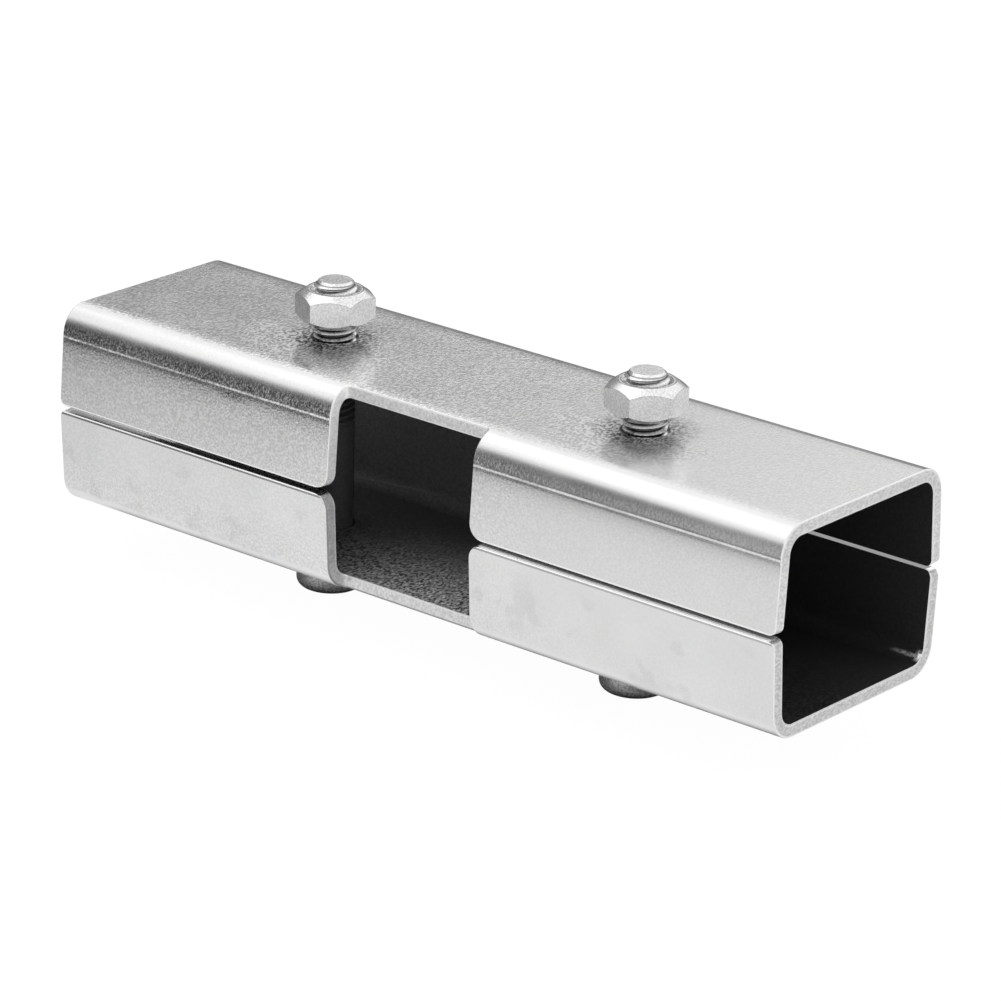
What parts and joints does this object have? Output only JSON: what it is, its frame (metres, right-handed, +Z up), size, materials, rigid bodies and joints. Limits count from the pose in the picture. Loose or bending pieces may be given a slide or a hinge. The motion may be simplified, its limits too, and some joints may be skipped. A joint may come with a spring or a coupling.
{
  "type": "square tube tee connector",
  "caption": "Clamp of two folded steel shells and two screws that joins a square tube branch to a square tube run at right angles.",
  "frame": {"origin": "centre of the bounding box in plan, at the flat undersides of the screw heads", "axes": "+X along the run to the right, -Y out of the branch opening, +Z up along the screws to the nuts"},
  "size_m": [0.168, 0.0478, 0.06],
  "materials": {
    "shell_sheet": "bright zinc plating, fine grain, satin",
    "screw_steel": "zinc plated, smooth",
    "nut_steel": "zinc plated, bright on the chamfers"
  },
  "bodies": {
    "lower shell": {"lower_shell": "shell_sheet"},
    "upper shell": {"upper_shell": "shell_sheet"},
    "left screw": {"bolt_left": "screw_steel"},
    "right screw": {"bolt_right": "screw_steel"},
    "left nut": {"nut_left": "nut_steel"},
    "right nut": {"nut_right": "nut_steel"}
  },
  "joints": [
    {"name": "clamp_travel", "type": "slide", "parent": "lower shell", "child": "upper shell", "axis": [0, 0, 1], "range_m": [-0.0005, 0.0027]},
    {"name": "left_screw_turn", "type": "hinge", "parent": "lower shell", "child": "left screw", "pos_m": [-0.0365, 0, 0], "axis": [0, 0, 1], "continuous": true},
    {"name": "right_screw_turn", "type": "hinge", "parent": "lower shell", "child": "right screw", "pos_m": [0.0365, 0, 0], "axis": [0, 0, 1], "continuous": true},
    {"name": "left_nut_turn", "type": "hinge", "parent": "left screw", "child": "left nut", "pos_m": [-0.0365, 0, 0], "axis": [0, 0, 1], "continuous": true},
    {"name": "right_nut_turn", "type": "hinge", "parent": "right screw", "child": "right nut", "pos_m": [0.0365, 0, 0], "axis": [0, 0, 1], "continuous": true}
  ]
}
